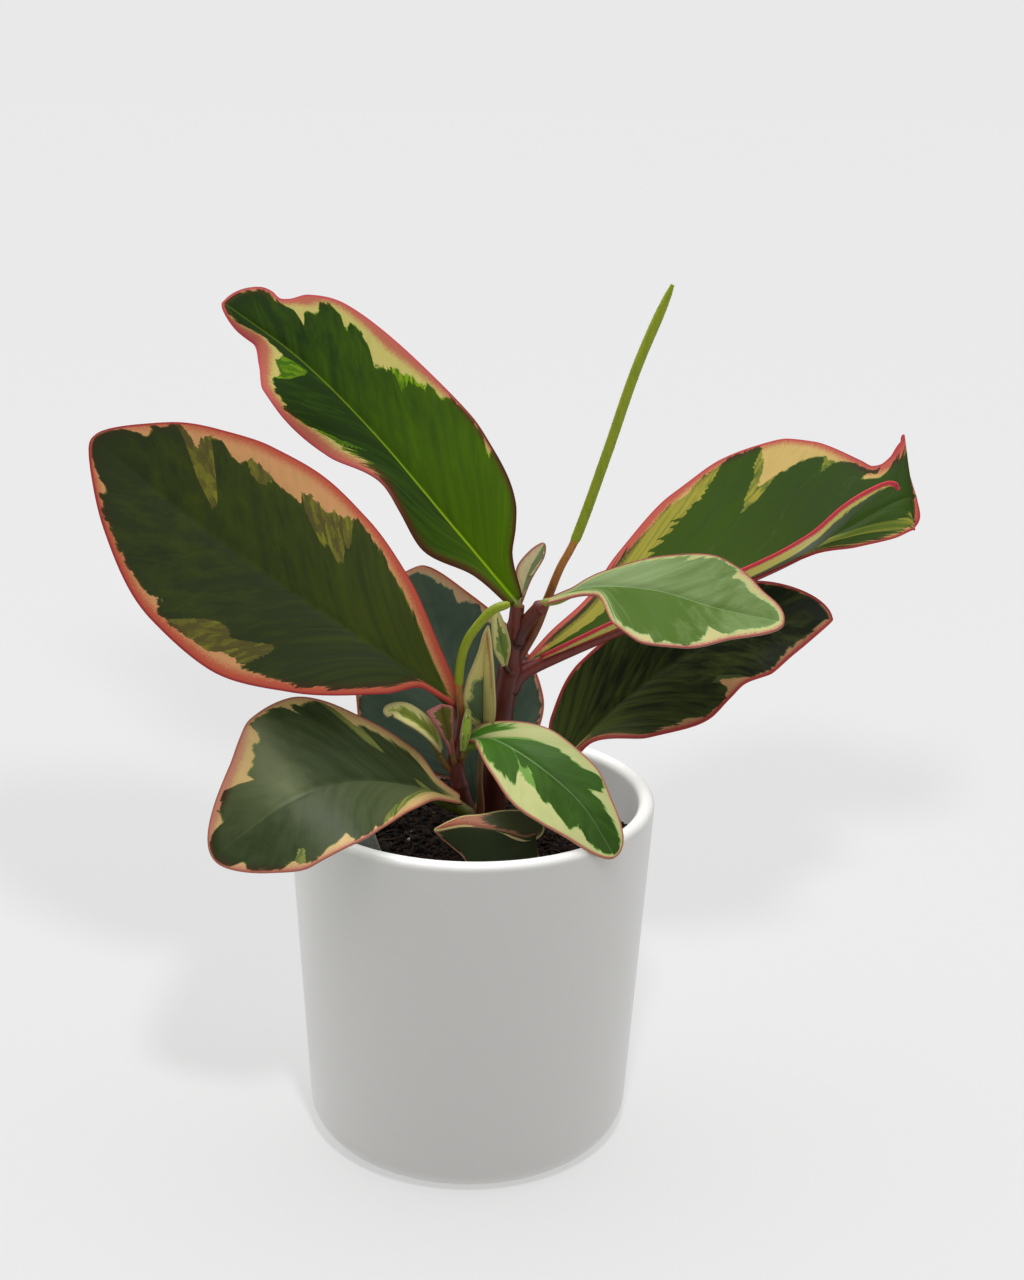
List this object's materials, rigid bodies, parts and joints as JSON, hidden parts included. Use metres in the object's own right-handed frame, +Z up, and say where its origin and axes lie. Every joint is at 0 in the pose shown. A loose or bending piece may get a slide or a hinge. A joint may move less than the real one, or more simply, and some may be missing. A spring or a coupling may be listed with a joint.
{
  "type": "potted ginny peperomia",
  "caption": "Broad variegated leaves with pink margins and slender flower spikes on short stems, growing in a plain round tapered cover pot with a rounded foot and lip.",
  "frame": {"origin": "centre of the pot's flat base", "axes": "+Z up, -Y towards the viewer of the picture, +X to the viewer's right"},
  "size_m": [0.2356, 0.1207, 0.2615],
  "materials": {
    "pot_ceramic": "matte",
    "soil": "matte",
    "label_plastic": "satin",
    "stem": "satin",
    "leaf_green": "satin",
    "leaf_young": "satin",
    "leaf_cream": "satin",
    "leaf_pink": "satin",
    "flower_spike": "satin"
  },
  "bodies": {
    "root": {"pot": "pot_ceramic", "soil": "soil", "plant_label": "label_plastic", "stem_trunk": "stem", "stem_side": "stem", "leaf_left_large": "leaf_green", "leaf_upper_left": "leaf_green", "leaf_right_folded": "leaf_green", "leaf_right_young": "leaf_young", "leaf_right_low": "leaf_green", "leaf_back": "leaf_green", "leaf_front_left": "leaf_green", "leaf_front_right": "leaf_green", "leaf_front_low": "leaf_pink", "leaf_centre_folded": "leaf_cream", "leaf_centre_small": "leaf_cream", "leaf_top_small": "leaf_cream", "leaf_curled_small": "leaf_cream", "leaf_pink_small": "leaf_pink", "shoot_bud": "leaf_cream", "flower_spike_tall": "flower_spike", "flower_spike_short": "flower_spike"}
  },
  "joints": []
}
